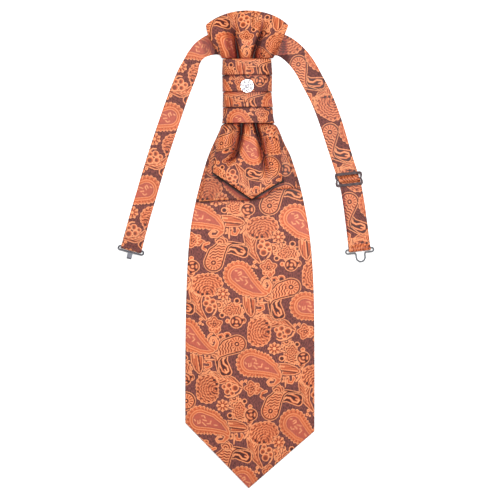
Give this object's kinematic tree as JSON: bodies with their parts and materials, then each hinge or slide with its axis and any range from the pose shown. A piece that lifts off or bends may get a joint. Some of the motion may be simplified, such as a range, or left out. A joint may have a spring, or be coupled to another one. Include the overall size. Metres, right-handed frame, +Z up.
{
  "type": "pre-tied cravat",
  "caption": "Pre-tied paisley silk cravat laid flat: pointed blade, puffed flap, banded knot with a jewelled pin, pleated ruff and a hooked neck band with a slide.",
  "frame": {"origin": "middle of the bounding box's base, on the surface that the cravat lies on", "axes": "+Y from the blade's point to the ruff, +Z up from the surface, +X to the viewer's right over the face"},
  "size_m": [0.2378, 0.4422, 0.0175],
  "materials": {
    "paisley_silk": "jacquard silk with a paisley of orange on plum brown",
    "nickelled_steel": "dull nickel plate",
    "enamelled_steel": "dark satin enamel",
    "pin_metal": "bright silver plate",
    "crystal": "cut and foil-backed"
  },
  "bodies": {
    "cravat": {"blade": "paisley_silk", "under_flap": "paisley_silk", "flap": "paisley_silk", "knot_band_1": "paisley_silk", "knot_band_2": "paisley_silk", "knot_band_3": "paisley_silk", "knot_band_4": "paisley_silk", "ruff": "paisley_silk", "neck_band_left": "paisley_silk", "neck_band_right": "paisley_silk", "slide": "enamelled_steel", "pin_setting": "pin_metal", "pin_stone_0": "crystal", "pin_stone_1": "crystal", "pin_stone_2": "crystal", "pin_stone_3": "crystal", "pin_stone_4": "crystal", "pin_stone_5": "crystal", "pin_stone_6": "crystal", "pin_stone_7": "crystal"},
    "eye": {"eye": "nickelled_steel"},
    "hook": {"hook": "nickelled_steel"}
  },
  "joints": [
    {"name": "eye_swing", "type": "hinge", "parent": "cravat", "child": "eye", "pos_m": [0.10503, 0.00064, 0.0023], "axis": [-0.9942, -0.1075, 0], "range_deg": [0, 135]},
    {"name": "hook_swing", "type": "hinge", "parent": "cravat", "child": "hook", "pos_m": [-0.10605, 0.00098, 0.0023], "axis": [-0.9685, 0.2491, 0], "range_deg": [0, 135]}
  ]
}
